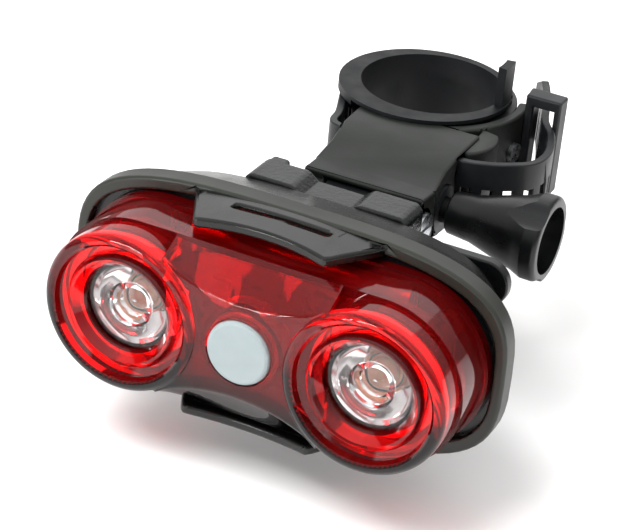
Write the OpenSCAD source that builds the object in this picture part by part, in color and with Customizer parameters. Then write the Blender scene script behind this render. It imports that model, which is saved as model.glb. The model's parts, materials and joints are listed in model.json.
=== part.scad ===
// Twin-lamp bicycle rear light on a worm-drive seat-post band clamp.
// The origin is on the seat post's axis at the middle of the band. +Z runs up the post
// and the light faces -Y.

/* [Seat post clamp] */
// Diameter of the seat post
post_d = 28.6; // [25.4:0.2:31.8]
// Thickness of the rubber liner
liner_t = 1.2; // [1:0.1:2]
// Width of the band
band_w = 12.6; // [11:0.2:15]
// Thickness of the band
band_t = 1.6; // [1.2:0.1:2]
// Length of each slot across the band
slot_h = 6; // [4:0.5:7]
// Width of each slot along the band
slot_w = 2; // [1.5:0.1:2.4]
// Distance from slot to slot
slot_pitch = 4; // [3.6:0.1:5]

/* [Bracket arm] */
// Cover of the arm over the band's channel
arm_cover = 0.9; // [0.8:0.1:2]
// Width of the arm between its side faces
arm_w = 25; // [24:0.5:28]
// How far the arm's middle stands to the right of the post's axis
arm_shift = 4.5; // [3.5:0.25:5]
// Wall between the band's channel and the liner
saddle_wall = 8.5; // [7:0.5:11]
// Thickness of the curved wing beside the post
wing_t = 2.2; // [1.8:0.1:3]

/* [Knob and worm] */
// Outer radius of the worm's thread
worm_r = 4.3; // [3.8:0.1:4.8]
// Radius of the worm's two journals
journal_r = 2.5; // [2:0.1:2.8]
// Length of the knob
knob_len = 20; // [16:0.5:26]
// Large radius of the knob
knob_r = 8.5; // [7:0.25:9.5]
// Small radius of the knob
knob_neck_r = 4.1; // [3.8:0.1:4.6]

/* [Tilt hinge] */
// Radius of the hinge's knuckles
knuckle_r = 4.2; // [3.8:0.1:5]
// Thickness of each ear of the hinge
ear_t = 4.5; // [4:0.25:6]
// Radius of the hinge screw
pivot_r = 1.5; // [1.25:0.05:1.75]
// How far the hinge's axis lies below the middle of the band
pivot_drop = 1.6; // [0.5:0.1:2]

/* [Slide rail] */
// Width of the rail block
rail_w = 33; // [31:0.5:36]
// Depth of the rail block
rail_depth = 8.2; // [7.8:0.1:9]
// Half width of the tongue that the rail takes
tongue_hw = 9.2; // [8.8:0.1:9.6]
// Thickness of the tongue
tongue_t = 2.8; // [2.4:0.1:3]
// Length of the release lever's thumb end, from its pin
lever_len = 18; // [14:0.5:20]

/* [Light] */
// How far the lamps' centres lie below the middle of the band
eye_drop = 12.2; // [11:0.2:13.4]
// How far the light's middle stands to the right of the post's axis
light_shift = 2.5; // [1.5:0.25:3.5]
// Distance between the two lamps
eye_gap = 48; // [47:0.5:52]
// Outer radius of each round eye
eye_r = 15.5; // [15:0.25:17]
// Radius of the window in each eye
window_r = 8.3; // [7.5:0.1:9]
// Height of the front at its drawn-in waist
waist_h = 18; // [17.5:0.25:22]
// Depth of the lens
lens_depth = 18; // [17:0.5:21]
// Wall of the lens
lens_wall = 2; // [1.6:0.1:2.2]
// Radius of the push button
button_r = 6.2; // [5:0.1:6.4]
// Travel of the push button
button_travel = 1; // [0.6:0.1:1.2]

/* [Rear housing] */
// Width of the lip round the lens
lip_w = 2.3; // [1.8:0.1:3]
// How far the rim rises above the lens
rim_rise = 4.2; // [3.6:0.1:7]
// Depth of the shell behind the seal
shell_depth = 11.8; // [11.4:0.2:14]
// Back wall of the shell
shell_wall = 2; // [1.6:0.1:2.2]
// Thickness of the seal
seal_t = 1.2; // [0.8:0.1:1.6]
// How far the tabs reach forward from the rim
tab_reach = 12; // [9:0.5:13]
// Thickness of the tabs
tab_t = 2; // [1.4:0.1:2.4]
// Length of the slot in each tab
tab_slot = 19; // [14:0.5:22]

/* [Power] */
// Diameter of an AAA cell
cell_d = 10.5; // [10:0.1:10.6]
// Length of an AAA cell
cell_len = 44.5; // [43.5:0.1:44.5]
// Thickness of the circuit board
board_t = 1.6; // [1:0.1:1.6]

/* [Hidden] */
$fn = 96;

// Clearances
fit_gap = 0.2;
run_gap = 0.05;
move_gap = 0.4;
thread_gap = 0.3;
eps = 0.01;

// Clamp, from the post outwards and then forwards along -Y
post_r = post_d / 2;
liner_r = post_r + liner_t;
band_in = liner_r + fit_gap;
band_mid = band_in + band_t / 2;
band_out = band_in + band_t;
saddle_dip = 0.7;
arm_back = -(band_in - saddle_dip);
band_run = arm_back - saddle_wall - fit_gap - band_t / 2;
worm_y = band_run - band_t / 2 - thread_gap - worm_r;
worm_drop = 2.2;
worm_bore_r = worm_r + thread_gap;
arm_front_wall = 1.2;
arm_front = worm_y - worm_bore_r - arm_front_wall;
arm_left = arm_shift - arm_w / 2;
arm_right = arm_shift + arm_w / 2;
channel_hh = band_w / 2 + fit_gap;
arm_top = channel_hh + arm_cover;
arm_bottom = -channel_hh - arm_cover - 0.3;
wing_in = band_out + thread_gap;
wing_out = wing_in + wing_t;
wing_end = 14;
liner_h = band_w + 0.6;
lip_top = arm_top + 0.9;

// Worm along X, held between the arm's left wall and the bush in its right wall
arm_wall = 2.6;
bush_t = 3;
worm_left = arm_left + arm_wall;
worm_right = arm_right - bush_t;
bush_r = worm_bore_r;
knob_x = arm_right + 1.6;
knob_end = knob_x + knob_len;
shaft_end = knob_x + knob_len * 0.5;

// Tilt hinge
pivot_y = arm_front - move_gap - knuckle_r;
pivot_z = -pivot_drop;
hinge_left = arm_left + 0.5;
hinge_right = arm_right;
barrel_left = hinge_left + ear_t + fit_gap;
barrel_right = hinge_right - ear_t - fit_gap;
screw_head_r = pivot_r * 2;
screw_head_t = 1.8;

// Slide rail on the back of the housing
rail_back = pivot_y - knuckle_r - 0.6;
rail_front = rail_back - rail_depth;
rail_top = 6;
rail_dip = 1.6;
rail_pad = 9.8;
rail_bottom = -20;
tongue_back = rail_back - 1.6 - fit_gap;
tongue_front = tongue_back - tongue_t;
neck_hw = tongue_hw - 3;
neck_left = max(light_shift - neck_hw + fit_gap, barrel_left);
neck_right = min(light_shift + neck_hw - fit_gap, barrel_right);
slot_top = rail_top - rail_dip - 1.4;
lever_t = 1.4;
lever_front = rail_front + 1.5;
lever_z = -2.4;
lever_h = 9;
lever_pin_x = light_shift + rail_w / 2 + 2;
lever_pin_y = lever_front + lever_t / 2;
hook_depth = 1;
rail_screw_x = (tongue_hw + fit_gap + rail_w / 2) / 2;

// Light, from its back to its front
body_depth = lens_depth + seal_t + shell_depth;
front_y = rail_front - body_depth;
half_gap = eye_gap / 2;
base_r = eye_r + 0.7;
flange_r = base_r + 0.6;
flange_t = 2;
shoulder = 6.5;
waist_set = 1;
waist_hh = waist_h / 2;
fillet_r = (pow(half_gap, 2) + pow(waist_hh, 2) - pow(eye_r, 2)) / (2 * (eye_r - waist_hh));
fillet_z = waist_hh + fillet_r;
waist_x = half_gap * fillet_r / (fillet_r + eye_r);
cavity_r = eye_r - lens_wall;
eye_wall = 4;
floor_y = lens_depth + seal_t;
rim_front = lens_depth - 0.8;
rim_back = floor_y + 2;
back_y = body_depth;
rim_power = 3.3;
rim_hw = half_gap + flange_r + fit_gap + lip_w;
rim_hh = flange_r + rim_rise;
seat_hw = rim_hw - lip_w;
seat_hh = flange_r + 1.6;
back_taper = 0.84;

// Inside the light
optic_t = 1.4;
optic_r = window_r + 1.3;
board_y = 12;
board_back = board_y + board_t;
board_hw = half_gap + cavity_r - 3.5;
board_hh = cavity_r - 2.5;
post_x = board_hw - 3.5;
post_z = board_hh - 4;
cell_r = cell_d / 2;
cell_y = back_y - shell_wall - fit_gap - cell_r;
cell_z = cell_r + 0.35;
well_hw = cell_len / 2 + 2.2;
well_hh = cell_z + cell_r + 0.5;
plate_t = 0.5;
screw_r = 1;
cap_front = waist_set - 0.6;
flange_front = waist_set + lens_wall + thread_gap;
stem_end = 7.3;
switch_front = 8.6;

// Helpers

// Solid with its outline in XZ, from y0 to y1
module plate_y(y0, y1) {
    translate([0, y1, 0]) rotate([90, 0, 0]) linear_extrude(y1 - y0) children();
}

module cyl_y(y0, y1, r, x = 0, z = 0) {
    translate([x, y0, z]) rotate([-90, 0, 0]) cylinder(h = y1 - y0, r = r);
}

module cyl_x(x0, x1, r, y = 0, z = 0) {
    translate([x0, y, z]) rotate([0, 90, 0]) cylinder(h = x1 - x0, r = r);
}

// Turned solid about Y from a profile of [radius, y]
module turned_y(profile, x = 0, z = 0) {
    translate([x, 0, z]) rotate([-90, 0, 0]) rotate_extrude() polygon(profile);
}

// Turned solid about X from a profile of [radius, x]
module turned_x(profile, y = 0, z = 0) {
    translate([0, y, z]) rotate([0, 90, 0]) rotate_extrude() polygon(profile);
}

// Sector of a ring about the post's axis
module ring_sector(r0, r1, z0, z1, a0, a1) {
    translate([0, 0, z0]) rotate([0, 0, a0]) rotate_extrude(angle = a1 - a0)
        translate([r0, 0]) square([r1 - r0, z1 - z0]);
}

module box(low, high) {
    translate(low) cube(high - low);
}

// Places the light's own frame: its front at y = 0, its lamps at z = 0
module in_light() {
    translate([light_shift, front_y, -eye_drop]) children();
}

function arc(x, y, r, a0, a1, n) =
    [for (i = [0:n]) let (a = a0 + (a1 - a0) * i / n) [x + r * cos(a), y + r * sin(a)]];

function signed_power(v, p) = sign(v) * pow(abs(v), p);

// Rounded-oblong outline
function oblong(hw, hh, power, n) =
    [for (i = [0:n - 1]) let (a = 360 * i / n)
        [hw * signed_power(cos(a), 2 / power), hh * signed_power(sin(a), 2 / power)]];

// Two round ends joined by a straight middle
module eyes_outline(r) {
    square([eye_gap, 2 * r], center = true);
    for (side = [-1, 1]) translate([side * half_gap, 0]) circle(r);
}

// Clamp: the band's run

// Points that the middle of the band passes through
ring_points = [for (a = [-20:15:190]) [band_mid * cos(a), band_mid * sin(a)]];
left_points = [
    [-band_mid + 1.6, -band_mid * 0.55],
    [arm_left - 3.4, band_run + 6],
    [arm_left - 2.6, band_run + 1.8],
    [arm_left - 0.8, band_run + 0.12]
];
run_points = [[arm_left + 3, band_run], [arm_shift, band_run], [arm_right, band_run],
    [arm_right + 4.6, band_run + 1.2], [arm_right + 8.4, band_run + 3.4]];

// The tail's points as an angle about the post and a distance outside the band
tail_polar = [[-31, 16.6], [-21.5, 14.6], [-8.5, 10.4], [5, 6.5], [27, 6], [45, 7.8],
    [59, 10.6]];
tail_points = [for (p = tail_polar) (band_out + p[1]) * [cos(p[0]), sin(p[0])]];
band_points = concat(ring_points, left_points, run_points, tail_points);

function spline_point(p0, p1, p2, p3, t) = 0.5 * (2 * p1 + (p2 - p0) * t
    + (2 * p0 - 5 * p1 + 4 * p2 - p3) * t * t + (3 * p1 - p0 - 3 * p2 + p3) * t * t * t);

function smooth(pts, steps) = let (last = len(pts) - 1) concat(
    [for (i = [0:last - 1], k = [0:steps - 1])
        spline_point(pts[max(i - 1, 0)], pts[i], pts[i + 1], pts[min(i + 2, last)], k / steps)],
    [pts[last]]);

band_path = smooth(band_points, 4);

function unit(v) = v / norm(v);
function heading(path, i) = unit(path[min(i + 1, len(path) - 1)] - path[max(i - 1, 0)]);
function aside(path, i, d) = let (h = heading(path, i)) path[i] + d * [-h[1], h[0]];
function lengths(path, i = 1, out = [0]) = i == len(path) ? out
    : lengths(path, i + 1, concat(out, [out[i - 1] + norm(path[i] - path[i - 1])]));

band_lengths = lengths(band_path);
band_len = band_lengths[len(band_path) - 1];

// Point and direction at a distance along the band
function step_at(s, i = 1) = band_lengths[i] >= s || i == len(band_path) - 1 ? i : step_at(s, i + 1);
function point_at(s) = let (i = step_at(s), a = band_lengths[i - 1], b = band_lengths[i])
    band_path[i - 1] + (band_path[i] - band_path[i - 1]) * (s - a) / (b - a);
function angle_at(s) = let (i = step_at(s), d = band_path[i] - band_path[i - 1]) atan2(d[1], d[0]);

first_slot = band_mid * PI * 150 / 180;
last_slot = band_len - 9;
keeper_angle = tail_polar[3][0];
keeper_r = band_out + tail_polar[3][1];

module clamp_band() {
    n = len(band_path);
    color("#1c1f22") difference() {
        translate([0, 0, -band_w / 2]) linear_extrude(band_w) polygon(concat(
            [for (i = [0:n - 1]) aside(band_path, i, band_t / 2)],
            [for (i = [n - 1:-1:0]) aside(band_path, i, -band_t / 2)]));
        for (s = [first_slot:slot_pitch:last_slot])
            translate([point_at(s)[0], point_at(s)[1], -worm_drop]) rotate([0, 0, angle_at(s)])
                cube([slot_w, band_t * 3, slot_h], center = true);
        rotate(rivet_angle) cyl_x(band_in - 1, band_out + 1, rivet_r + run_gap);
        tail_corners();
    }
}

// Wedges that taper the tail's end
tip_taper = 5;
module tail_corners() {
    tip = point_at(band_len);
    translate([tip[0], tip[1], 0]) rotate([0, 0, angle_at(band_len)]) for (side = [0, 1])
        mirror([0, 0, side]) rotate([90, 0, 0]) translate([0, 0, -5]) linear_extrude(10)
            polygon([[-tip_taper, band_w / 2], [1, band_w / 2 - 3], [1, band_w], [-tip_taper, band_w]]);
}

rivet_r = 1.1;
rivet_angle = -9;
module band_rivet() {
    color("#8a8d90") rotate(rivet_angle) {
        cyl_x(band_in + fit_gap, wing_out, rivet_r);
        cyl_x(wing_out - eps, wing_out + 0.9, rivet_r * 1.8);
    }
}

lug_low = -8;
lug_high = 10;
lug_rise = 8;
slit = 6;
sink = 0.05;

// Ring about the post, in plan
module liner_ring(r) {
    difference() {
        circle(r);
        circle(post_r);
    }
}

// The lip's outer edge follows the band where it leaves the post towards the arm
lip_r = band_out + 0.1;
lip_shift = [-0.9, -1.2];
arm_angle = 236;
module lip_plan() {
    difference() {
        translate(lip_shift) circle(lip_r);
        circle(post_r);
    }
}

// Wedge between two angles, in plan
module plan_wedge(a0, a1) {
    n = 12;
    polygon(concat([[0, 0]], arc(0, 0, 2 * band_out, a0, a1, n)));
}

module post_liner() {
    lip_low = arm_top + fit_gap;
    band_lip_low = band_w / 2 + fit_gap;
    color("#26282a") {
        // Sleeve, open at a slit
        translate([0, 0, -liner_h / 2]) linear_extrude(lip_low + liner_h / 2) difference() {
            liner_ring(liner_r);
            plan_wedge(lug_high, lug_high + slit);
        }
        // Lip over the arm
        translate([0, 0, lip_low - sink]) linear_extrude(lip_top - lip_low + sink) intersection() {
            lip_plan();
            plan_wedge(arm_angle, 360 + lug_high);
        }
        // Thicker lip over the band
        translate([0, 0, band_lip_low]) linear_extrude(lip_top - band_lip_low) intersection() {
            lip_plan();
            plan_wedge(lug_high + slit, arm_angle + 0.5);
        }
        // Lug beside the band's end
        translate([0, 0, lip_top - sink]) linear_extrude(lug_rise + sink) intersection() {
            liner_ring(liner_r + 0.6);
            plan_wedge(lug_low, lug_high);
        }
    }
}

// The loop's window holds the tail, and its inner bar seats on the wing
keeper_depth = 4;
keeper_bar = 2.4;
keeper_room = band_t + 2.6;
keeper_rise = 2.6;
module band_keeper() {
    x1 = keeper_r * cos(keeper_angle) + keeper_room / 2;
    y0 = keeper_r * sin(keeper_angle) - keeper_depth / 2;
    low = -band_w / 2 - move_gap;
    high = band_w / 2 + keeper_rise;
    color("#202326") difference() {
        box([wing_out - 0.6, y0, low - keeper_bar],
            [x1 + keeper_bar * 0.6, y0 + keeper_depth, high + keeper_bar]);
        box([x1 - keeper_room, y0 - 1, low], [x1, y0 + keeper_depth + 1, high]);
        translate([0, 0, -band_w * 2]) cylinder(h = band_w * 4, r = wing_out);
    }
}

// Clamp: the arm

// Plan of the arm, with its rounded back corner on the left
module arm_plan() {
    corner = 2.5;
    polygon(concat(
        arc(arm_left + corner, arm_back - corner, corner, 90, 180, 8),
        [[arm_left + 0.6, worm_y], [arm_left, arm_front], [arm_right, arm_front],
         [arm_right - 0.5, worm_y], [arm_right, band_run], [arm_right, arm_back]]));
}

// Side view of the arm, whose top falls towards the hinge
module arm_side() {
    ear_top = pivot_z + knuckle_r;
    polygon([[arm_back + 8, arm_bottom], [arm_back + 8, arm_top], [band_run, arm_top],
        [arm_front, ear_top + 1.2], [arm_front, arm_bottom + 1]]);
}

module hinge_ears() {
    for (x = [hinge_left, hinge_right - ear_t]) {
        cyl_x(x, x + ear_t, knuckle_r, pivot_y, pivot_z);
        box([x, pivot_y, pivot_z - knuckle_r], [x + ear_t, arm_front + 1, pivot_z + knuckle_r]);
    }
}

// Roof that carries the arm's top on over the hinge's barrel
module hinge_hood() {
    room = knuckle_r + move_gap;
    roof = room + 1.3;
    difference() {
        translate([hinge_left, pivot_y, pivot_z]) rotate([90, 0, 90])
            linear_extrude(hinge_right - hinge_left) {
            intersection() {
                circle(roof);
                polygon([[0, 0], [2 * roof, 0], [2 * roof, 2 * roof], [-0.35 * roof, 2 * roof]]);
            }
            polygon([[0, 0], [room + 0.5, 0], [room + 0.5, roof - 0.4], [0, roof]]);
        }
        cyl_x(barrel_left - fit_gap, barrel_right + fit_gap, room, pivot_y, pivot_z);
    }
}

// Curved wall that follows the band on the knob's side
module wing() {
    ring_sector(wing_in, wing_out, arm_bottom, arm_top, -64, wing_end);
}

// Bulge that leads the arm's flank into the wing, a step below the arm's top
module flank() {
    step = 0.6;
    translate([0, 0, arm_bottom + step]) linear_extrude(arm_top - arm_bottom - 2 * step) polygon(concat(
        [[arm_right - 1, band_run + 2]],
        arc(arm_right - 5.4, band_run + 8.5, 9, -46, 30, 10),
        [[arm_right - 1, band_run + 13.5]]));
}

module bracket_arm() {
    color("#3c3f40") difference() {
        union() {
            flank();
            intersection() {
                translate([0, 0, arm_bottom - 1]) linear_extrude(arm_top - arm_bottom + 2) arm_plan();
                translate([arm_left - 10, 0, 0]) rotate([90, 0, 90]) linear_extrude(arm_w + 20) arm_side();
            }
            wing();
            hinge_ears();
            hinge_hood();
        }
        // Saddle for the liner
        translate([0, 0, arm_bottom - 1]) cylinder(h = arm_top - arm_bottom + 2, r = band_in);
        // Channel for the band
        box([arm_left - 1, band_run - band_t / 2 - fit_gap, -channel_hh],
            [arm_right + 1, band_run + band_t / 2 + fit_gap, channel_hh]);
        // Chamber, window and seats for the worm
        cyl_x(worm_left, arm_right + 1, worm_bore_r, worm_y, -worm_drop);
        box([worm_left, worm_y, -worm_drop - slot_h / 2], [worm_right, band_run, -worm_drop + slot_h / 2]);
        cyl_x(arm_left - 1, worm_left + 1, journal_r + run_gap, worm_y, -worm_drop);
        // Hinge screw, its head and its nut
        cyl_x(hinge_left - 1, hinge_right + 1, pivot_r + run_gap, pivot_y, pivot_z);
        cyl_x(hinge_right - 1, hinge_right + 1, screw_head_r + fit_gap, pivot_y, pivot_z);
        cyl_x(hinge_left - 1, hinge_left + 1.6, nut_r + fit_gap, pivot_y, pivot_z);
        // Hole for the band's rivet
        rotate(rivet_angle) cyl_x(wing_in - 1, wing_out + 1, rivet_r);
    }
}

module worm_bush() {
    color("#54575a") difference() {
        cyl_x(worm_right, arm_right, bush_r, worm_y, -worm_drop);
        cyl_x(worm_right - 1, arm_right + 1, journal_r + run_gap, worm_y, -worm_drop);
    }
}

module pivot_screw() {
    x0 = hinge_right - 1;
    color("#c9cccd") difference() {
        union() {
            cyl_x(hinge_left + 0.4, x0 + eps, pivot_r, pivot_y, pivot_z);
            cyl_x(x0, x0 + screw_head_t, screw_head_r, pivot_y, pivot_z);
        }
        // Driver slot
        box([x0 + screw_head_t - 0.6, pivot_y - screw_head_r, pivot_z - 0.4],
            [x0 + screw_head_t + 1, pivot_y + screw_head_r, pivot_z + 0.4]);
    }
}

nut_r = pivot_r + 1.4;
module pivot_nut() {
    color("#a9adb0") difference() {
        translate([hinge_left - 0.8, pivot_y, pivot_z]) rotate([0, 90, 0])
            cylinder(h = 2.4, r = nut_r, $fn = 6);
        cyl_x(hinge_left - 2, hinge_left + 3, pivot_r, pivot_y, pivot_z);
    }
}

// Clamp: the worm and its knob

thread_pitch = slot_pitch;
module worm_screw() {
    x0 = worm_left + move_gap;
    x1 = worm_right - move_gap;
    depth = 0.7;
    color("#9b9ea1") {
        translate([x0, worm_y, -worm_drop]) rotate([0, 90, 0])
            linear_extrude(x1 - x0, twist = -360 * (x1 - x0) / thread_pitch, slices = 40, $fn = 20)
                translate([depth, 0]) circle(worm_r - depth, $fn = 20);
        cyl_x(arm_left + 0.9, x0 + 1, journal_r, worm_y, -worm_drop);
        cyl_x(x1 - 1, shaft_end, journal_r, worm_y, -worm_drop);
    }
}

module tightening_knob() {
    hollow_r = knob_r - 2;
    scoop_r = 6;
    floor_x = shaft_end + 1.2;
    color("#17191b") difference() {
        turned_x(concat(
            [[0, knob_x], [knob_neck_r - 0.4, knob_x], [knob_neck_r, knob_x + 0.4],
             [knob_neck_r + 0.5, knob_x + knob_len * 0.25], [knob_r - 1.2, knob_x + knob_len * 0.72],
             [knob_r, knob_end - 3]],
            arc(knob_r - 1, knob_end - 1, 1, 0, 90, 6), [[0, knob_end]]), worm_y, -worm_drop);
        turned_x([[0, floor_x], [hollow_r - 1.4, floor_x], [hollow_r, knob_end - 2],
            [hollow_r, knob_end + 1], [0, knob_end + 1]], worm_y, -worm_drop);
        cyl_x(knob_x - 1, floor_x + 1, journal_r, worm_y, -worm_drop);
        // Three scoops for the fingers
        for (a = [35, 155, 275]) translate([0, worm_y, -worm_drop]) rotate([a, 0, 0])
            translate([knob_end, 0, knob_r + scoop_r - 1.2]) rotate([0, 86, 0])
                cylinder(h = 2 * knob_len, r = scoop_r, center = true);
    }
}

module knob_screw() {
    color("#b5b8ba") turned_x([[0, shaft_end], [journal_r, shaft_end], [journal_r, shaft_end + 1.2],
        [journal_r + 0.6, shaft_end + 1.2], [journal_r + 0.4, shaft_end + 2.4], [0, shaft_end + 2.6]],
        worm_y, -worm_drop);
}

// Tilt hinge and slide rail

module slide_plate() {
    color("#46494a") difference() {
        union() {
            box([light_shift - tongue_hw, tongue_front, rail_bottom],
                [light_shift + tongue_hw, tongue_back, slot_top - 0.3]);
            box([neck_left, tongue_back - eps, pivot_z - knuckle_r - 2],
                [neck_right, pivot_y, min(slot_top - 0.3, pivot_z + knuckle_r - 0.3)]);
            cyl_x(barrel_left, barrel_right, knuckle_r, pivot_y, pivot_z);
        }
        cyl_x(barrel_left - 1, barrel_right + 1, pivot_r + run_gap, pivot_y, pivot_z);
        // Catch for the lever's hook
        box([light_shift + tongue_hw - 4, tongue_front - 1, lever_z - 2.6],
            [light_shift + tongue_hw + 1, tongue_front + hook_depth + move_gap, lever_z + 2.6]);
    }
}

// Outline of the rail block in XZ, with its two raised pads
module rail_outline() {
    hw = rail_w / 2;
    pad = hw - rail_pad;
    polygon([[-hw, rail_bottom], [hw, rail_bottom], [hw, rail_top - 1.2], [hw - 1.2, rail_top],
        [pad, rail_top],
        [pad - 2, rail_top - rail_dip], [-pad + 2, rail_top - rail_dip], [-pad, rail_top],
        [-hw + 1.2, rail_top], [-hw, rail_top - 1.2]]);
}

module slide_rail() {
    color("#191b1d") difference() {
        union() {
            translate([light_shift, 0, 0]) plate_y(rail_front, rail_back) rail_outline();
            // Deeper back of the left pad, clear of the hinge
            box([light_shift - rail_w / 2 + 1.2, rail_back - eps, rail_top - 5],
                [hinge_left - 1.6, rail_back + 1.6, rail_top]);
            // Ears for the lever's pin
            for (z = [lever_z - 4.4, lever_z + 2.4])
                box([light_shift + rail_w / 2 - eps, rail_front, z],
                    [lever_pin_x + 1.8, lever_pin_y + 1.8, z + 2]);
        }
        // Slot for the tongue, open below and behind
        box([light_shift - tongue_hw - fit_gap, tongue_front - fit_gap, rail_bottom - 1],
            [light_shift + tongue_hw + fit_gap, tongue_back + fit_gap, slot_top]);
        box([light_shift - neck_hw, tongue_back, rail_bottom - 1],
            [light_shift + neck_hw, rail_back + 1, slot_top]);
        // Channel for the lever's inner arm
        box([light_shift + 2, rail_front - 1, lever_z - 2.4],
            [light_shift + rail_w, tongue_front, lever_z + 2.4]);
        translate([lever_pin_x, lever_pin_y, lever_z - 6]) cylinder(h = 12, r = 0.8);
        for (side = [-1, 1])
            cyl_y(rail_front - 1, rail_front + 5, screw_r, light_shift + side * rail_screw_x, -eye_drop);
    }
}

module rail_screws() {
    head_t = 1.2;
    y0 = rail_front - shell_wall;
    color("#a9adb0") for (side = [-1, 1]) {
        cyl_y(y0, rail_front + 5, screw_r, light_shift + side * rail_screw_x, -eye_drop);
        cyl_y(y0 - head_t, y0 + eps, 1.8, light_shift + side * rail_screw_x, -eye_drop);
    }
}

// Lever with a thumb end on the right and a hook in the tongue's catch on the left
module release_lever() {
    x_hook = light_shift + tongue_hw - 3;
    x_end = lever_pin_x + lever_len;
    color("#141618") difference() {
        union() {
            box([x_hook, lever_front, lever_z - 2], [lever_pin_x, lever_front + lever_t, lever_z + 2]);
            box([x_hook, lever_front, lever_z - 2], [x_hook + 2, tongue_front + hook_depth, lever_z + 2]);
            translate([lever_pin_x, lever_pin_y, lever_z - 2.2]) cylinder(h = 4.4, r = 1.7);
            plate_y(lever_front - 0.2, lever_front + lever_t + 0.8) {
                translate([lever_pin_x, lever_z - 2]) square([4, 4]);
                translate([lever_pin_x + 3, lever_z - lever_h / 2])
                    square([x_end - lever_h / 2 - lever_pin_x - 3, lever_h]);
                translate([x_end - lever_h / 2, lever_z]) circle(lever_h / 2);
            }
        }
        translate([lever_pin_x, lever_pin_y, lever_z - 6]) cylinder(h = 12, r = 0.8 + run_gap);
    }
}

module lever_pin() {
    color("#b5b8ba") translate([lever_pin_x, lever_pin_y, lever_z - 4.4]) cylinder(h = 8.8, r = 0.8);
}

// Light: housing and lens

module tab_plan() {
    hw0 = 18.6;
    hw1 = 12.6;
    tip = rim_front - tab_reach;
    polygon(concat([[-hw0, rim_front + 1], [-hw0, rim_front - 0.6], [-hw1 - 0.6, tip + 0.8], [-hw1, tip]],
        arc(0, tip - 38, 40, 90 + 17, 90 - 17, 8),
        [[hw1, tip], [hw1 + 0.6, tip + 0.8], [hw0, rim_front - 0.6], [hw0, rim_front + 1]]));
}

// Arched tab over the waist, with its fall towards the front in degrees
module tab(fall) {
    crown = 160;
    top = rim_hh - 0.2;
    difference() {
        intersection() {
            translate([0, 0, rim_hh - 12]) linear_extrude(14) tab_plan();
            translate([0, rim_front, top]) rotate([fall, 0, 0]) translate([0, 0, -crown]) difference() {
                cyl_y(-tab_reach - 4, 3, crown);
                cyl_y(-tab_reach - 5, 4, crown - tab_t);
            }
        }
        translate([0, rim_front - 3.2, 0]) linear_extrude(rim_hh) {
            square([tab_slot - 1.8, 1.8], center = true);
            for (side = [-1, 1]) translate([side * (tab_slot / 2 - 0.9), 0]) circle(0.9);
        }
    }
}

module rear_housing() {
    rim = oblong(rim_hw, rim_hh, rim_power, 72);
    color("#4a4d4b") in_light() {
        difference() {
            union() {
                plate_y(rim_front, rim_back) polygon(rim);
                translate([0, back_y, 0]) rotate([90, 0, 0])
                    linear_extrude(back_y - rim_back + 0.5, scale = 0.985 / back_taper)
                        polygon(rim * back_taper);
            }
            // Seat for the lens and its seal
            plate_y(rim_front - 1, floor_y) polygon(oblong(seat_hw, seat_hh, rim_power, 72));
            // Well for the cells
            box([-well_hw, floor_y - 1, -well_hh], [well_hw, back_y - shell_wall, well_hh]);
            // Holes for the board's posts and the rail's screws
            for (side = [-1, 1]) {
                cyl_y(floor_y - 1, floor_y + 4, board_post_r, side * post_x, side * post_z);
                cyl_y(back_y - 5, back_y + 1, screw_r, side * rail_screw_x);
            }
        }
        tab(-3);
        mirror([0, 0, 1]) tab(5);
    }
}

module housing_seal() {
    color("#2a2a2a") in_light() plate_y(lens_depth, floor_y) difference() {
        eyes_outline(flange_r);
        eyes_outline(cavity_r + 0.3);
    }
}

// Waist between the eyes: its front edge is drawn in, and its top slopes back to the straight shoulder
module waist_block(y0, y1, inset, back_hh) {
    n = 20;
    xs = [for (i = [0:n]) waist_x * (2 * i / n - 1)];
    points = [for (x = xs) let (z = fillet_z - sqrt(pow(fillet_r, 2) - x * x) - inset)
        each [[x, y0, -z], [x, y0, z], [x, y1, back_hh], [x, y1, -back_hh]]];
    sides = [for (i = [0:n - 1], k = [0:3]) let (a = 4 * i + k, b = 4 * i + (k + 1) % 4)
        each [[a, b, a + 4], [b, b + 4, a + 4]]];
    m = 4 * n;
    polyhedron(points, concat(sides, [[0, 3, 2], [0, 2, 1], [m, m + 1, m + 2], [m, m + 2, m + 3]]));
}

// Dished front of an eye: groove, ring and conical step down to the window
dish = [[0, -1], [eye_r - 1.8, -1], [eye_r - 1.8, 0], [eye_r - 2.3, 0.4], [eye_r - 2.7, 1.5],
    [window_r + 3, 2], [window_r + 2.5, 1.1], [window_r + 2.1, 0.8], [window_r + 1.6, 1], [window_r, 3.3],
    [window_r, eye_wall + 1], [0, eye_wall + 1]];

module lens() {
    bezel = 1.7;
    color([0.85, 0.05, 0.08, 0.6]) in_light() {
        difference() {
            union() {
                for (side = [-1, 1]) turned_y(concat([[0, 0]], arc(eye_r - bezel, bezel, bezel, -90, 0, 8),
                    [[eye_r, lens_depth], [0, lens_depth]]), side * half_gap);
                plate_y(shoulder, lens_depth) eyes_outline(base_r);
                plate_y(lens_depth - flange_t, lens_depth) eyes_outline(flange_r);
                waist_block(waist_set, shoulder + eps, 0, base_r);
            }
            for (side = [-1, 1]) {
                turned_y(dish, side * half_gap);
                cyl_y(eye_wall, lens_depth + 1, cavity_r, side * half_gap);
            }
            plate_y(shoulder + lens_wall, lens_depth + 1) eyes_outline(cavity_r);
            waist_block(waist_set + lens_wall, shoulder + lens_wall + eps, lens_wall, cavity_r);
            cyl_y(-1, shoulder, button_r + thread_gap);
        }
        // Guide tube of the button
        difference() {
            cyl_y(waist_set + lens_wall - eps, 7, button_r + 2);
            cyl_y(waist_set, 8, button_r + 1.1);
        }
    }
}

// Light: lamps

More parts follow.
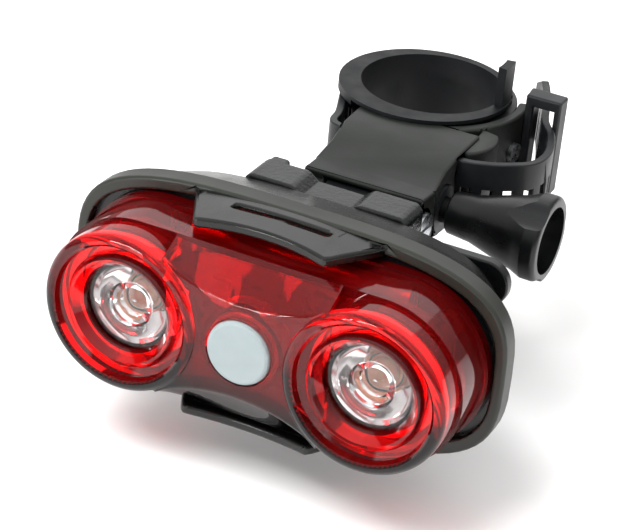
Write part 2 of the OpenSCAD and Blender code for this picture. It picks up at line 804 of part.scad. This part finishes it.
bulge_r = 4.4;
module optic(side) {
    y1 = eye_wall + optic_t;
    color([0.9, 0.92, 0.95, 0.5]) in_light() turned_y([[0, eye_wall], [optic_r, eye_wall], [optic_r, y1],
        [bulge_r, y1], [bulge_r - 0.4, y1 + 1.2], [bulge_r - 1.6, y1 + 2], [0, y1 + 2.4]], side * half_gap);
}

led_r = 3.2;
module reflector(side) {
    y0 = eye_wall + optic_t;
    y1 = board_y;
    flange = cavity_r - 0.6;
    color("#d5d8da") in_light() turned_y([[flange, y0], [flange, y0 + 0.8], [window_r, y0 + 0.8],
        [led_r + 1.3, y1], [led_r + 0.3, y1], [led_r + 0.3, y1 - 1], [window_r - 1.2, y0 + 1.6],
        [window_r - 0.6, y0]], side * half_gap);
}

module led(side) {
    dome = board_y - 1.2;
    color("#f3ead0") in_light() turned_y(concat([[0, board_y], [led_r, board_y], [led_r, board_y - 0.8],
        [led_r - 0.5, board_y - 0.8]],
        [for (a = [0:15:90]) [(led_r - 0.5) * cos(a), dome - 2 * sin(a)]]), side * half_gap);
}

module left_optic() { optic(-1); }
module right_optic() { optic(1); }
module left_reflector() { reflector(-1); }
module right_reflector() { reflector(1); }
module left_led() { led(-1); }
module right_led() { led(1); }

// Light: board, switch and button

board_post_r = 2.4;
module circuit_board() {
    color("#2c5a3a") in_light() {
        difference() {
            plate_y(board_y, board_back) difference() {
                square([2 * board_hw, 2 * board_hh], center = true);
                for (x = [-1, 1], z = [-1, 1]) translate([x * board_hw, z * board_hh]) rotate(45)
                    square(4.4, center = true);
            }
            for (side = [-1, 1]) cyl_y(board_y - 1, board_back + 1, screw_r, side * post_x, side * post_z);
        }
        // Stand-off posts pressed into the housing
        for (side = [-1, 1]) difference() {
            cyl_y(board_back - eps, floor_y + 4, board_post_r, side * post_x, side * post_z);
            cyl_y(board_back - 1, board_back + 4, screw_r, side * post_x, side * post_z);
        }
    }
}

module board_screws() {
    color("#b5b8ba") in_light() for (side = [-1, 1]) {
        cyl_y(board_y - eps, board_back + 4, screw_r, side * post_x, side * post_z);
        cyl_y(board_y - 1, board_y, 1.8, side * post_x, side * post_z);
    }
}

// Small parts on the board's face: [x, z, width, height, depth]
chips = [[-9, 6, 3.2, 2, 1.2], [-5, 7.6, 2, 1.2, 0.8], [6, 7.4, 4, 3, 1.6], [10.5, 6, 2, 1.2, 0.8],
    [-10, -6.5, 4.4, 3.6, 1.6], [8, -7, 3, 1.6, 1]];
module board_parts() {
    color("#303236") in_light() for (c = chips)
        box([c[0] - c[2] / 2, board_y - c[4], c[1] - c[3] / 2],
            [c[0] + c[2] / 2, board_y, c[1] + c[3] / 2]);
}

plunger_r = 1.7;
module tact_switch() {
    color("#3a3c40") in_light() difference() {
        box([-3.1, switch_front, -3.1], [3.1, board_y, 3.1]);
        cyl_y(switch_front - 1, board_y - 0.6, plunger_r + run_gap);
    }
}

module switch_plunger() {
    color("#d8d4c8") in_light() cyl_y(stem_end, board_y - 0.6 - button_travel - fit_gap, plunger_r);
}

module push_button() {
    color("#cdd6d6") in_light() turned_y([[0, cap_front], [button_r - 0.5, cap_front],
        [button_r, cap_front + 0.5], [button_r, flange_front], [button_r + 0.7, flange_front],
        [button_r + 0.7, flange_front + 1],
        [2.4, flange_front + 1], [2.4, stem_end], [0, stem_end]]);
}

// Light: cells and contacts

nub_r = 1.9;
nub_t = 1.2;
plate_in = well_hw - plate_t;

module cell(z, way) {
    color("#7d8288") in_light() mirror([way < 0 ? 1 : 0, 0, 0]) {
        cyl_x(plate_in - cell_len, plate_in - nub_t, cell_r, cell_y, z);
        cyl_x(plate_in - nub_t - eps, plate_in, nub_r, cell_y, z);
    }
}

module upper_cell() { cell(cell_z, 1); }
module lower_cell() { cell(-cell_z, -1); }

module cell_plates() {
    color("#b9bcbe") in_light() for (side = [-1, 1])
        box([side > 0 ? plate_in : -well_hw, cell_y - cell_r + 0.6, -well_hh + 0.4],
            [side > 0 ? well_hw : -plate_in, back_y - shell_wall, well_hh - 0.4]);
}

// Spring cones between each cell's flat end and its plate
module cell_springs() {
    color("#c9cccd") in_light() for (way = [-1, 1]) mirror([way < 0 ? 1 : 0, 0, 0])
        turned_x([[0, -plate_in], [3.4, -plate_in], [3.4, -plate_in + 1], [2, plate_in - cell_len],
            [0, plate_in - cell_len]], cell_y, way * cell_z);
}

bracket_arm();
post_liner();
clamp_band();
band_keeper();
band_rivet();
worm_bush();
pivot_screw();
pivot_nut();
worm_screw();
tightening_knob();
knob_screw();
slide_plate();
slide_rail();
rail_screws();
release_lever();
lever_pin();
rear_housing();
housing_seal();
lens();
left_optic();
right_optic();
left_reflector();
right_reflector();
left_led();
right_led();
circuit_board();
board_parts();
board_screws();
tact_switch();
switch_plunger();
push_button();
upper_cell();
lower_cell();
cell_plates();
cell_springs();
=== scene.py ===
import json
import math

import bmesh
import bpy
from mathutils import Matrix, Vector


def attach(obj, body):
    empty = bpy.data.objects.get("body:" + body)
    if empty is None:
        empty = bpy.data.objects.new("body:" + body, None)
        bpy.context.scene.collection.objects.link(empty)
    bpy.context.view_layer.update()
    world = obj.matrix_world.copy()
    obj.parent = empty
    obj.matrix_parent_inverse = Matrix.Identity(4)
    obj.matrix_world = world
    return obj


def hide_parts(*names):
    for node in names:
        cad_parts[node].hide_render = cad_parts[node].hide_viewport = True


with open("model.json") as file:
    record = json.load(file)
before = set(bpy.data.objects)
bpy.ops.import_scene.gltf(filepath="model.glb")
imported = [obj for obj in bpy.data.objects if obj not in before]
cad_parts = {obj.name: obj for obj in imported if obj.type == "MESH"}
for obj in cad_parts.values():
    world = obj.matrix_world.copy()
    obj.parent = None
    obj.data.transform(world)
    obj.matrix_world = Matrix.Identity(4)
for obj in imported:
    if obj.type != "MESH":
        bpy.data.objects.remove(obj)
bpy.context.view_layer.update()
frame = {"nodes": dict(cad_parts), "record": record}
nodes = frame["nodes"]
bodies = frame["record"]["behaviour"]["bodies"]
bodyOf = {node: body for body, members in bodies.items() for node in members}
mm = 0.001


# Materials

def linear(hexColour):
    values = [int(hexColour[i:i + 2], 16) / 255 for i in (1, 3, 5)]
    return [v / 12.92 if v <= 0.04045 else ((v + 0.055) / 1.055) ** 2.4 for v in values] + [1.0]


def addNode(tree, kind, settings=None, links=None):
    node = tree.nodes.new(kind)
    for name, value in (settings or {}).items():
        if isinstance(name, int) or name in node.inputs:
            node.inputs[name].default_value = value
        else:
            setattr(node, name, value)
    for name, source in (links or {}).items():
        tree.links.new(source, node.inputs[name])
    return node


# Shared by all materials: noise detail, the noise and edge values that a change runs between, bump
pattern = {"cloudDetail": 4.0, "cloudLow": 0.3, "cloudHigh": 0.7, "edgeFrom": 0.52, "edgeTo": 0.60,
           "grainDetail": 3.0, "bump": 0.6}


def newMaterial(name, shader, patches, grain, paleEdges=None, depth=None, shade=None):
    # patches: cloudy change of colour and roughness,
    # as (size mm, dark hex, light hex, rough low, rough high)
    # grain: fine bump of the surface, as (size mm, height mm); a spark texture is nearer 0.1 mm
    # in life and is drawn coarser, because that wouldn't show
    # paleEdges: paler convex edges, by the mesh's pointiness, as (hex, share)
    # depth: tint that deepens with the wall's thickness, as (hex, density per mm)
    # shade: painted shade below the height each face carries, as (face attribute, hex, fade mm)
    material = bpy.data.materials.new(name)
    material.use_nodes = True
    tree = material.node_tree
    tree.nodes.clear()
    out = addNode(tree, "ShaderNodeOutputMaterial")
    place = addNode(tree, "ShaderNodeTexCoord").outputs["Object"]
    size, darkHex, lightHex, roughLow, roughHigh = patches
    cloud = addNode(tree, "ShaderNodeTexNoise",
                    {"Scale": 1 / (size * mm), "Detail": pattern["cloudDetail"]}, {"Vector": place})
    colour = addNode(tree, "ShaderNodeMix",
                     {"data_type": "RGBA", 6: linear(darkHex), 7: linear(lightHex)},
                     {0: cloud.outputs["Fac"]}).outputs[2]
    rough = addNode(tree, "ShaderNodeMapRange",
                    {"From Min": pattern["cloudLow"], "From Max": pattern["cloudHigh"],
                     "To Min": roughLow, "To Max": roughHigh}, {"Value": cloud.outputs["Fac"]})
    # paler convex edges; on the housing's grey lip they are painted highlight
    if paleEdges:
        edgeHex, edgeAmount = paleEdges
        point = addNode(tree, "ShaderNodeNewGeometry").outputs["Pointiness"]
        edge = addNode(tree, "ShaderNodeMapRange",
                       {"From Min": pattern["edgeFrom"], "From Max": pattern["edgeTo"],
                        "To Min": 0.0, "To Max": edgeAmount}, {"Value": point})
        colour = addNode(tree, "ShaderNodeMix", {"data_type": "RGBA", 7: linear(edgeHex)},
                         {0: edge.outputs["Result"], 6: colour}).outputs[2]
    # painted shade: mixes toward the dark hex below the height each face carries
    if shade:
        attribute, shadeHex, fade = shade
        top = addNode(tree, "ShaderNodeAttribute", {"attribute_name": attribute}).outputs["Fac"]
        level = addNode(tree, "ShaderNodeSeparateXYZ", links={"Vector": place}).outputs["Z"]
        below = addNode(tree, "ShaderNodeMath", {"operation": "SUBTRACT"},
                        {0: top, 1: level}).outputs["Value"]
        amount = addNode(tree, "ShaderNodeMapRange", {"From Max": fade * mm},
                         {"Value": below}).outputs["Result"]
        colour = addNode(tree, "ShaderNodeMix", {"data_type": "RGBA", 7: linear(shadeHex)},
                         {0: amount, 6: colour}).outputs[2]
    grainSize, grainHeight = grain
    speck = addNode(tree, "ShaderNodeTexNoise",
                    {"Scale": 1 / (grainSize * mm), "Detail": pattern["grainDetail"]},
                    {"Vector": place})
    bump = addNode(tree, "ShaderNodeBump",
                   {"Strength": pattern["bump"], "Distance": grainHeight * mm},
                   {"Height": speck.outputs["Fac"]})
    bsdf = addNode(tree, "ShaderNodeBsdfPrincipled", shader,
                   {"Base Color": colour, "Roughness": rough.outputs["Result"],
                    "Normal": bump.outputs["Normal"]})
    tree.links.new(bsdf.outputs["BSDF"], out.inputs["Surface"])
    if depth:
        tint = addNode(tree, "ShaderNodeVolumeAbsorption",
                       {"Color": linear(depth[0]), "Density": depth[1] / mm})
        tree.links.new(tint.outputs["Volume"], out.inputs["Volume"])
    return material


# Polycarbonate dyed red, polished mould: clear red with sharp white highlights, and painted
# shade that turns the eyes' thick rims near black in their lower part; the index is under
# polycarbonate's 1.58, so the pale floor doesn't veil the red
redPolycarbonate = newMaterial(
    "redPolycarbonatePolished", {"IOR": 1.42, "Transmission Weight": 0.95},
    (9, "#ff1e22", "#ff2c30", 0.02, 0.05), (6, 0.01), depth=("#f02020", 0.08),
    shade=("shadeTop", "#1c0306", 6))
# Acrylic, polished mould: water-clear with a bright rim
clearAcrylic = newMaterial(
    "clearAcrylicPolished", {"IOR": 1.49, "Transmission Weight": 1.0},
    (6, "#f6f8f8", "#ffffff", 0.01, 0.03), (4, 0.005))
# Plastic with vapour-plated aluminium: bright mirror, a little uneven; its faint pink cast is
# painted reflection of the red lens
platedPlastic = newMaterial(
    "platedPlasticVapour", {"Metallic": 1.0},
    (3, "#f1e6e6", "#ffffff", 0.04, 0.14), (2, 0.01))
# Epoxy resin, cast: half-clear dome with a gloss; its cloudy red and pale gold patches are
# painted reflections
ledResin = newMaterial(
    "epoxyResinCast", {"IOR": 1.5, "Transmission Weight": 0.6},
    (2.4, "#ff2a14", "#ffe6b4", 0.05, 0.12), (0.8, 0.01))
# ABS, moulded with a fine spark texture: dark grey-green lip with a broad satin sheen;
# its paler convex edges are painted highlight
greyAbs = newMaterial(
    "greyAbsSparkTextured", {"IOR": 1.52, "Specular IOR Level": 0.4},
    (14, "#191b16", "#23251f", 0.34, 0.48), (0.35, 0.02), ("#4c4e48", 0.4))
# ABS, semi-polished mould: glossy black tabs, and the same black on the seat as painted shade
darkAbs = newMaterial(
    "blackAbsSemiPolishedAndSeatShade", {"IOR": 1.5, "Specular IOR Level": 0.4},
    (9, "#0a0b0a", "#121311", 0.2, 0.32), (0.6, 0.015), ("#3a3b38", 0.3))
# Glass-filled nylon, moulded: near black, dull, with paler flow marks
blackNylon = newMaterial(
    "blackNylonMoulded", {"IOR": 1.53, "Specular IOR Level": 0.35},
    (7, "#0a0b0d", "#131518", 0.36, 0.52), (0.4, 0.03), ("#303234", 0.5))
# Glass-filled nylon, moulded in a worn mould: dull arm, a shade greener and paler than the band
greyNylon = newMaterial(
    "greyNylonMoulded", {"IOR": 1.53, "Specular IOR Level": 0.35},
    (11, "#131513", "#1c1f1c", 0.4, 0.56), (0.5, 0.03), ("#333632", 0.4))
# ABS, polished mould: black with soft streaks of light
blackAbs = newMaterial(
    "blackAbsPolished", {"IOR": 1.5, "Specular IOR Level": 0.4},
    (8, "#050506", "#0b0c0d", 0.24, 0.36), (1.2, 0.02), ("#1c1e20", 0.4))
# ABS, moulded against a leather-grained die: black pads with small broken highlights
grainedAbs = newMaterial(
    "blackAbsLeatherGrained", {"IOR": 1.5, "Specular IOR Level": 0.45},
    (5, "#070808", "#0f1011", 0.2, 0.32), (0.8, 0.2), ("#1c1e20", 0.3))
# Natural rubber, moulded: matt black with a dusty bloom
blackRubber = newMaterial(
    "blackRubberMoulded", {"IOR": 1.5, "Specular IOR Level": 0.3},
    (5, "#07080a", "#0f1114", 0.45, 0.62), (0.3, 0.03))
# Silicone rubber, moulded: blue-grey, soft and matt
greySilicone = newMaterial(
    "greySiliconeMoulded",
    {"IOR": 1.43, "Subsurface Weight": 0.15, "Subsurface Radius": (0.002, 0.002, 0.002)},
    (4, "#8b9698", "#99a3a5", 0.4, 0.54), (0.25, 0.015))
# Steel, zinc-plated: silver with a faint blue and fine turned marks
zincSteel = newMaterial(
    "zincSteelPlated", {"Metallic": 1.0},
    (1.2, "#a9adb2", "#d4d6d8", 0.22, 0.38), (0.2, 0.01))
# Steel, blackened: dark and oily
blackSteel = newMaterial(
    "blackSteelOxidised", {"Metallic": 0.6},
    (2, "#0d0d0e", "#1a1b1c", 0.34, 0.5), (0.3, 0.01))
# Acetal, turned: smooth grey
greyAcetal = newMaterial(
    "greyAcetalTurned", {"IOR": 1.48},
    (2, "#5a5d60", "#74777a", 0.3, 0.42), (0.3, 0.01))
# Glass-fibre board, lacquered: green with paler patches
greenBoard = newMaterial(
    "glassFibreLacquered", {"IOR": 1.5},
    (2.2, "#123a20", "#3f7a4c", 0.22, 0.4), (0.5, 0.03))
# Epoxy moulding, matt: black chip packages and reflector backs
chipEpoxy = newMaterial(
    "epoxyMouldedMatt", {"IOR": 1.55},
    (1, "#1a1a1c", "#2b2b2e", 0.45, 0.6), (0.2, 0.02))
# Film over a steel can: glossy silver wrap
cellFilm = newMaterial(
    "steelCanFilmWrapped", {"IOR": 1.5, "Metallic": 0.4},
    (5, "#7c8086", "#989ca1", 0.18, 0.28), (2, 0.01))
print("materials made:", len(bpy.data.materials))

finishes = {
    "bracket_arm": greyNylon, "post_liner": blackRubber, "clamp_band": blackNylon,
    "band_keeper": blackNylon, "band_rivet": zincSteel, "worm_bush": blackNylon,
    "pivot_screw": zincSteel, "pivot_nut": zincSteel, "worm_screw": blackSteel,
    "tightening_knob": blackAbs, "knob_screw": zincSteel, "slide_plate": blackNylon,
    "slide_rail": grainedAbs, "rail_screws": zincSteel, "release_lever": blackAbs,
    "lever_pin": zincSteel, "rear_housing": greyAbs, "housing_seal": blackRubber,
    "lens": redPolycarbonate, "left_optic": clearAcrylic, "right_optic": clearAcrylic,
    "left_reflector": platedPlastic, "right_reflector": platedPlastic,
    "left_led": ledResin, "right_led": ledResin, "circuit_board": greenBoard,
    "board_parts": chipEpoxy, "board_screws": zincSteel, "tact_switch": chipEpoxy,
    "switch_plunger": greyAcetal, "push_button": greySilicone, "upper_cell": cellFilm,
    "lower_cell": cellFilm, "cell_plates": zincSteel, "cell_springs": zincSteel,
}


# Pieces: a piece that needs an edge radius, crisp creases or a second finish is shown as a copy

# weld in m, angles in degrees
copying = {"weld": 2e-6, "flat": 0.3, "crease": 35, "segments": 3}


def everywhere(point):
    return True


def copied(node, material, smooth=copying["crease"], flatten=None):
    piece = bpy.data.objects.new(node + "Moulded", nodes[node].data.copy())
    bpy.context.scene.collection.objects.link(piece)
    shape = bmesh.new()
    shape.from_mesh(piece.data)
    bmesh.ops.remove_doubles(shape, verts=shape.verts, dist=copying["weld"])
    if flatten:
        flat = {vert for vert in shape.verts if flatten(vert.co / mm)}
        between = [edge for edge in shape.edges if flat.issuperset(edge.verts)]
        bmesh.ops.dissolve_limit(shape, angle_limit=math.radians(copying["flat"]),
                                 verts=list(flat), edges=between)
    for face in shape.faces:
        face.smooth = True
    for edge in shape.edges:
        edge.smooth = edge.calc_face_angle(0) < math.radians(smooth)
    piece.data.materials.clear()
    piece.data.materials.append(material)
    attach(piece, bodyOf[node])
    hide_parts(node)
    return piece, shape


def moulded(node, material, radius, wanted=everywhere, flatten=everywhere, second=None):
    # second: another finish and the test for its faces
    piece, shape = copied(node, material, flatten=flatten)
    if second:
        piece.data.materials.append(second[0])
        for face in shape.faces:
            face.material_index = int(second[1](face))
    weights = shape.edges.layers.float.new("bevel_weight_edge")
    for edge in shape.edges:
        middle = (edge.verts[0].co + edge.verts[1].co) / 2
        corner = edge.is_convex and edge.calc_face_angle(0) > math.radians(copying["crease"])
        edge[weights] = float(corner and wanted(middle / mm))
    shape.to_mesh(piece.data)
    shape.free()
    bevel = piece.modifiers.new("edge radius", "BEVEL")
    bevel.width = radius * mm
    bevel.segments = copying["segments"]
    bevel.limit_method = "WEIGHT"
    bevel.use_clamp_overlap = False
    bevel.harden_normals = True


edgeRadii = {"bracket_arm": 0.6, "slide_rail": 0.7, "release_lever": 0.5, "band_keeper": 0.5,
             "push_button": 0.35, "clamp_band": 0.3, "slide_plate": 0.4}
for node, radius in edgeRadii.items():
    moulded(node, finishes[node], radius)

# The light's own frame: its middle, front plane and lamp height in the row frame, in mm
lightMiddle, lightFront, lampHeight = 2.5, -84.3, -12.2

# Housing: a squared oval lip, whose front face lies this far behind the lens's front; share is
# where the lip begins, from 0 in the middle to 1 at its edge
rim = {"halfWidth": 43.3, "halfHeight": 21.0, "power": 3.3, "front": 17.2, "share": 0.86,
       "slack": 0.2, "tabStart": 0.05, "facing": -0.9, "radius": 0.7}


def onRim(point):
    # outside the seat and the cells' well
    across = abs((point.x - lightMiddle) / rim["halfWidth"]) ** rim["power"]
    upward = abs((point.z - lampHeight) / rim["halfHeight"]) ** rim["power"]
    return across + upward > rim["share"]


def atFront(point):
    return point.y < lightFront + rim["front"] + rim["slack"]


def onTabs(point):
    return point.y < lightFront + rim["front"] - rim["tabStart"]


def tabsAndShadedInside(face):
    # the lip's front face and outside are grey and the tabs glossy black; the seat behind the lens
    # is black as painted shade, and the back's middle takes the same black
    middle = face.calc_center_median() / mm
    level = abs(middle.y - lightFront - rim["front"]) < rim["slack"]
    lipFace = level and face.normal.y < rim["facing"]
    inFront = middle.y < lightFront + rim["front"] - rim["slack"]
    return inFront or not (lipFace or onRim(middle))


moulded("rear_housing", finishes["rear_housing"], rim["radius"], wanted=atFront, flatten=onTabs,
        second=(darkAbs, tabsAndShadedInside))

# Knob and liner: crisp scallops and a clean bore, by the angle in degrees that makes a crease
creases = {"tightening_knob": 18, "post_liner": 30}
for node, angle in creases.items():
    crisp, shape = copied(node, finishes[node], smooth=angle)
    shape.to_mesh(crisp.data)
    shape.free()

# Reflectors: only the bowl and the flange's front are plated
reflectors = {"nodes": ("left_reflector", "right_reflector"), "facing": -0.05}
for node in reflectors["nodes"]:
    bowl, shape = copied(node, finishes[node])
    bowl.data.materials.append(chipEpoxy)
    for face in shape.faces:
        face.material_index = int(face.normal.y > reflectors["facing"])
    shape.to_mesh(bowl.data)
    shape.free()

# Springs: one conical winding of wire at each cell's flat end, between the CAD cone's two ends
spring = {"turns": 3.5, "wire": 0.45, "sides": 8, "steps": 90, "taper": 0.55}
wireRadius = spring["wire"] / 2
coneEnds = [vert.co / mm for vert in nodes["cell_springs"].data.vertices]
sideTurns = [2 * math.pi * k / spring["sides"] for k in range(spring["sides"])]
wires = bmesh.new()
for side in (-1, 1):
    cone = [end for end in coneEnds if side * (end.x - lightMiddle) > 0]
    outer = max(cone, key=lambda end: side * end.x).x
    inner = min(cone, key=lambda end: side * end.x).x
    lowY, highY = min(end.y for end in cone), max(end.y for end in cone)
    lowZ, highZ = min(end.z for end in cone), max(end.z for end in cone)
    axisY, axisZ = (highY + lowY) / 2, (highZ + lowZ) / 2
    wide = (highZ - lowZ) / 2 - wireRadius
    narrow = wide * spring["taper"]
    rings = []
    for step in range(spring["steps"] + 1):
        share = step / spring["steps"]
        turn = 2 * math.pi * spring["turns"] * share
        reach = wide + (narrow - wide) * share
        along = outer - side * wireRadius + (inner - outer + side * spring["wire"]) * share
        outward = Vector((0, math.cos(turn), math.sin(turn)))
        middle = Vector((along, axisY, axisZ)) + outward * reach
        ring = []
        for sideTurn in sideTurns:
            away = outward * math.cos(sideTurn) + Vector((1, 0, 0)) * math.sin(sideTurn)
            ring.append(wires.verts.new((middle + wireRadius * away) * mm))
        rings.append(ring)
    for low, high in zip(rings, rings[1:]):
        for k in range(spring["sides"]):
            wires.faces.new((low[k - 1], low[k], high[k], high[k - 1])).smooth = True
    wires.faces.new(rings[0])
    wires.faces.new(reversed(rings[-1]))
bmesh.ops.recalc_face_normals(wires, faces=wires.faces)
wound = bpy.data.objects.new("cell_springsWound", bpy.data.meshes.new("cell_springsWound"))
wires.to_mesh(wound.data)
wires.free()
wound.data.materials.append(finishes["cell_springs"])
bpy.context.scene.collection.objects.link(wound)
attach(wound, bodyOf["cell_springs"])
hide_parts("cell_springs")

# Lens: the waist's front edges are rounded, and the upper one draws a fine bright line from eye
# to eye; set is the waist's distance behind the eyes' front, clear the least height off the lamps
lensEdge = {"set": 1.0, "slack": 0.02, "reach": 16.3, "clear": 8, "corner": 25, "radius": 0.45,
            "segments": 3, "crease": 30}
lensPiece, shape = copied("lens", finishes["lens"], smooth=lensEdge["crease"])
line = []
for edge in shape.edges:
    ends = [vert.co / mm for vert in edge.verts]
    onFront = all(abs(end.y - lightFront - lensEdge["set"]) < lensEdge["slack"] for end in ends)
    between = all(abs(end.x - lightMiddle) < lensEdge["reach"] for end in ends)
    offLamps = all(abs(end.z - lampHeight) > lensEdge["clear"] for end in ends)
    sharp = edge.calc_face_angle(0) > math.radians(lensEdge["corner"])
    if onFront and between and offLamps and sharp:
        line.append(edge)
bmesh.ops.bevel(shape, geom=line, offset=lensEdge["radius"] * mm, segments=lensEdge["segments"],
                affect="EDGES", profile=0.5)

# Painted shade: the eyes' rims darken from their middle down, and the waist along its lower edge
# and underside; each face carries the height over the lamps where its painted shade begins
shadeTops = {"eye": 5.0, "waist": -5.0, "none": -900}
eyeRim = {"apart": 24, "inner": 13.5, "outer": 15.6, "depth": 1.75, "under": 8}
shadeTop = shape.faces.layers.float.new("shadeTop")
for face in shape.faces:
    face.smooth = True
    middle = face.calc_center_median() / mm
    aside = abs(middle.x - lightMiddle)
    reach = math.hypot(aside - eyeRim["apart"], middle.z - lampHeight)
    nearFront = middle.y < lightFront + eyeRim["depth"]
    onUnderside = middle.z < lampHeight - eyeRim["under"]
    betweenEyes = reach > eyeRim["outer"] and aside < eyeRim["apart"]
    region = "none"
    if nearFront and eyeRim["inner"] < reach < eyeRim["outer"]:
        region = "eye"
    elif betweenEyes and (nearFront or onUnderside):
        region = "waist"
    face[shadeTop] = (lampHeight + shadeTops[region]) * mm
shape.to_mesh(lensPiece.data)
shape.free()

# The other pieces are shown as the CAD made them
reshaped = ("lens", "rear_housing", "cell_springs", *reflectors["nodes"], *edgeRadii, *creases)
for node, material in finishes.items():
    if node not in reshaped:
        nodes[node].data.materials.clear()
        nodes[node].data.materials.append(material)
print("pieces dressed:", len(finishes), "lens edge:", len(line))


# Stage: pale floor, soft boxes and the camera

# floor height in mm and half its width in m, strength of the dome, power of the boxes in W
stageLook = {"floor": -41.6, "half": 2, "horizon": 0.3, "zenith": 1.15, "key": 15.0, "front": 3.4,
             "back": 4.4}

half = stageLook["half"]
floorMesh = bpy.data.meshes.new("floor")
floorMesh.from_pydata([(-half, -half, 0), (half, -half, 0), (half, half, 0), (-half, half, 0)],
                      [], [(0, 1, 2, 3)])
floor = bpy.data.objects.new("floor", floorMesh)
floor.location.z = stageLook["floor"] * mm
bpy.context.scene.collection.objects.link(floor)
# Paper, matt: white with a faint tooth
floor.data.materials.append(newMaterial(
    "paperMatt", {"IOR": 1.45}, (60, "#f4f3f2", "#f9f8f8", 0.8, 0.9), (0.6, 0.02)))

# Dome: dim at the horizon and bright overhead, so reflections have no hard edges
world = bpy.data.worlds.new("studio")
bpy.context.scene.world = world
world.use_nodes = True
sky = world.node_tree
sky.nodes.clear()
toward = addNode(sky, "ShaderNodeTexCoord").outputs["Generated"]
height = addNode(sky, "ShaderNodeSeparateXYZ", links={"Vector": toward}).outputs["Z"]
glow = addNode(sky, "ShaderNodeMapRange",
               {"interpolation_type": "SMOOTHSTEP", "From Min": 0.0, "From Max": 1.0,
                "To Min": stageLook["horizon"], "To Max": stageLook["zenith"]},
               {"Value": height}).outputs["Result"]
dome = addNode(sky, "ShaderNodeBackground", {"Color": linear("#ffffff")}, {"Strength": glow})
addNode(sky, "ShaderNodeOutputWorld", links={"Surface": dome.outputs["Background"]})


def softBox(name, place, aim, size, power, mirrored):
    light = bpy.data.lights.new(name, "AREA")
    light.shape = "RECTANGLE"
    light.size, light.size_y = size
    light.energy = power
    lamp = bpy.data.objects.new(name, light)
    bpy.context.scene.collection.objects.link(lamp)
    lamp.location = place
    lamp.visible_glossy = mirrored
    lamp.rotation_mode = "QUATERNION"
    lamp.rotation_quaternion = (Vector(aim) - Vector(place)).to_track_quat("-Z", "Y")


# The key box only lights, the back box gives black tops their sheen, and the narrow front strip
# draws the thin bright lines along the lens's edges
softBox("keyBox", (-0.3, -0.5, 1.0), (0, -0.05, 0), (0.6, 0.6), stageLook["key"], False)
softBox("backBox", (-0.43, 0.96, 0.58), (0, -0.03, 0), (1.8, 0.9), stageLook["back"], True)
softBox("frontStrip", (-0.38, -0.93, 0.19), (0, -0.08, -0.012), (0.35, 0.05),
        stageLook["front"], True)

# Camera: place in mm, roll in degrees, focal length and centre in pixels of the frame
view = {"place": (149.8, -384.0, 188.7), "forward": (-0.3607, 0.7983, -0.4822), "roll": 5.34,
        "focal": 2246.1, "centre": (305.7, 275.1), "frame": (640, 530), "sensor": 36}
frameWidth, frameHeight = view["frame"]
forward = Vector(view["forward"]).normalized()
right = forward.cross(Vector((0, 0, 1))).normalized()
up = right.cross(forward)
roll = math.radians(view["roll"])
tiltRight = right * math.cos(roll) + up * math.sin(roll)
tiltUp = up * math.cos(roll) - right * math.sin(roll)
cameraLens = bpy.data.cameras.new("camera")
cameraLens.sensor_width = view["sensor"]
cameraLens.lens = view["sensor"] * view["focal"] / frameWidth
cameraLens.shift_x = (frameWidth / 2 - view["centre"][0]) / frameWidth
cameraLens.shift_y = (view["centre"][1] - frameHeight / 2) / frameWidth
cameraLens.clip_start, cameraLens.clip_end = 0.01, 10
camera = bpy.data.objects.new("camera", cameraLens)
bpy.context.scene.collection.objects.link(camera)
camera.matrix_world = Matrix.Translation(Vector(view["place"]) * mm) @ Matrix(
    (tiltRight, tiltUp, -forward)).transposed().to_4x4()
bpy.context.scene.camera = camera
bpy.context.scene.view_settings.view_transform = "Standard"
print("stage set")
